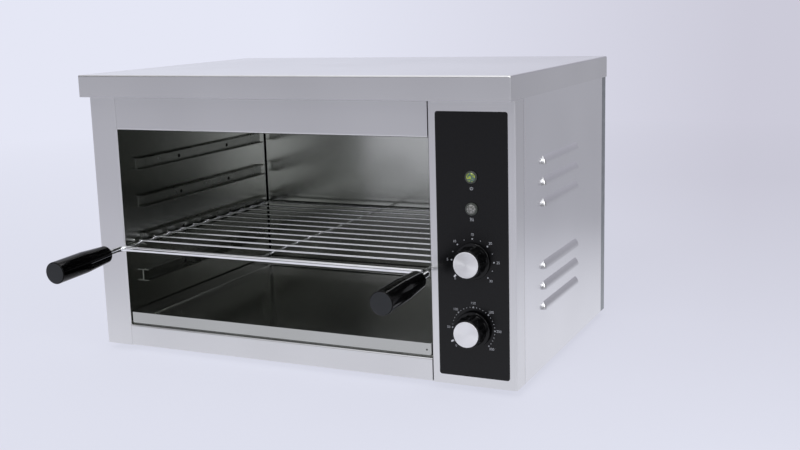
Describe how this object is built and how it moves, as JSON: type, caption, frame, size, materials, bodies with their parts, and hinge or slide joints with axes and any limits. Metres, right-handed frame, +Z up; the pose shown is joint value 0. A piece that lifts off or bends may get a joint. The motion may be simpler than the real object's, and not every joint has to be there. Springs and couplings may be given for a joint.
{
  "type": "cheese melter (salamander grill)",
  "caption": "Counter-top cheese melter with an open-fronted cavity, overhead elements, a sliding wire rack on side rails with two round grips, a crumb tray and a control column.",
  "frame": {"origin": "middle of the whole object's footprint, rack grips and cable gland included, on the surface that its feet stand on", "axes": "+X to the right seen from the front, +Y to the back, +Z up"},
  "size_m": [0.606, 0.5584, 0.3801],
  "materials": {
    "brushed_stainless": "satin, long fine brushing",
    "plain_stainless": "dull mill finish, lightly heat-toned",
    "galvanised_sheet": "dull galvanised",
    "zinc_steel": "bright zinc plated",
    "insulation": "loose white fibre",
    "black_overlay": "satin black film",
    "black_bezel": "gloss black",
    "green_lens": "translucent, gloss",
    "clear_lens": "frosted, gloss",
    "switch_plastic": "matte moulded",
    "bulb_steel": "drawn tube",
    "copper_tube": "bright drawn copper",
    "terminal_ceramic": "unglazed white",
    "lead_sleeve": "matte silicone sleeve",
    "brass_stud": "bright machined",
    "gland_plastic": "matte black",
    "foot_rubber": "matte black",
    "chromed_wire": "bright plated",
    "grip_plastic": "satin black",
    "element_sheath": "dark oxidised",
    "knob_plastic": "satin black",
    "spun_aluminium": "spun, bright rim",
    "white_pointer": "matte white"
  },
  "bodies": {
    "casing": {"top_cover": "brushed_stainless", "left_side_panel": "brushed_stainless", "right_side_panel": "brushed_stainless", "control_column": "brushed_stainless", "upper_fascia": "brushed_stainless", "lower_front_panel": "brushed_stainless", "cavity_left_wall": "plain_stainless", "cavity_right_wall": "plain_stainless", "cavity_back_wall": "plain_stainless", "cavity_ceiling": "plain_stainless", "cavity_floor": "plain_stainless", "left_rail_1": "plain_stainless", "left_rail_2": "plain_stainless", "left_rail_3": "plain_stainless", "left_rail_4": "plain_stainless", "right_rail_1": "plain_stainless", "right_rail_2": "plain_stainless", "right_rail_3": "plain_stainless", "right_rail_4": "plain_stainless", "back_panel": "galvanised_sheet", "base_plate": "galvanised_sheet", "element_hanger": "galvanised_sheet", "bulb_clips": "galvanised_sheet", "control_fixing_screws": "zinc_steel", "foot_fasteners": "zinc_steel", "casing_screws": "zinc_steel", "element_lock_nuts": "zinc_steel", "rail_rivets": "zinc_steel", "insulation_blanket": "insulation", "control_overlay": "black_overlay", "power_lamp_holder": "black_bezel", "heat_lamp_holder": "black_bezel", "power_lamp_lens": "green_lens", "heat_lamp_lens": "clear_lens", "timer_body": "switch_plastic", "thermostat_body": "switch_plastic", "thermostat_bulb": "bulb_steel", "capillary_tube": "copper_tube", "terminal_block": "terminal_ceramic", "wiring": "lead_sleeve", "earth_stud": "brass_stud", "cable_gland": "gland_plastic", "cable_gland_nut": "gland_plastic", "feet": "foot_rubber", "front_heating_element": "element_sheath", "rear_heating_element": "element_sheath"},
    "rack": {"rack_front_bar": "chromed_wire", "rack_frame_rods": "chromed_wire", "rack_cross_wires": "chromed_wire", "left_grip": "grip_plastic", "right_grip": "grip_plastic"},
    "tray": {"crumb_tray": "plain_stainless"},
    "timer_dial": {"timer_knob": "knob_plastic", "timer_knob_cap": "spun_aluminium", "timer_pointer": "white_pointer", "timer_shaft": "zinc_steel"},
    "thermostat_dial": {"thermostat_knob": "knob_plastic", "thermostat_knob_cap": "spun_aluminium", "thermostat_pointer": "white_pointer", "thermostat_shaft": "zinc_steel"}
  },
  "joints": [
    {"name": "rack_slide", "type": "slide", "parent": "casing", "child": "rack", "axis": [0, -1, 0], "range_m": [0, 0.3]},
    {"name": "tray_slide", "type": "slide", "parent": "casing", "child": "tray", "axis": [0, -1, 0], "range_m": [0, 0.3]},
    {"name": "timer_turn", "type": "hinge", "parent": "casing", "child": "timer_dial", "pos_m": [0.2445, -0.13483, 0.1627], "axis": [0, 1, 0], "range_deg": [0, 270]},
    {"name": "thermostat_turn", "type": "hinge", "parent": "casing", "child": "thermostat_dial", "pos_m": [0.2445, -0.13483, 0.08], "axis": [0, 1, 0], "range_deg": [-18, 252]}
  ]
}
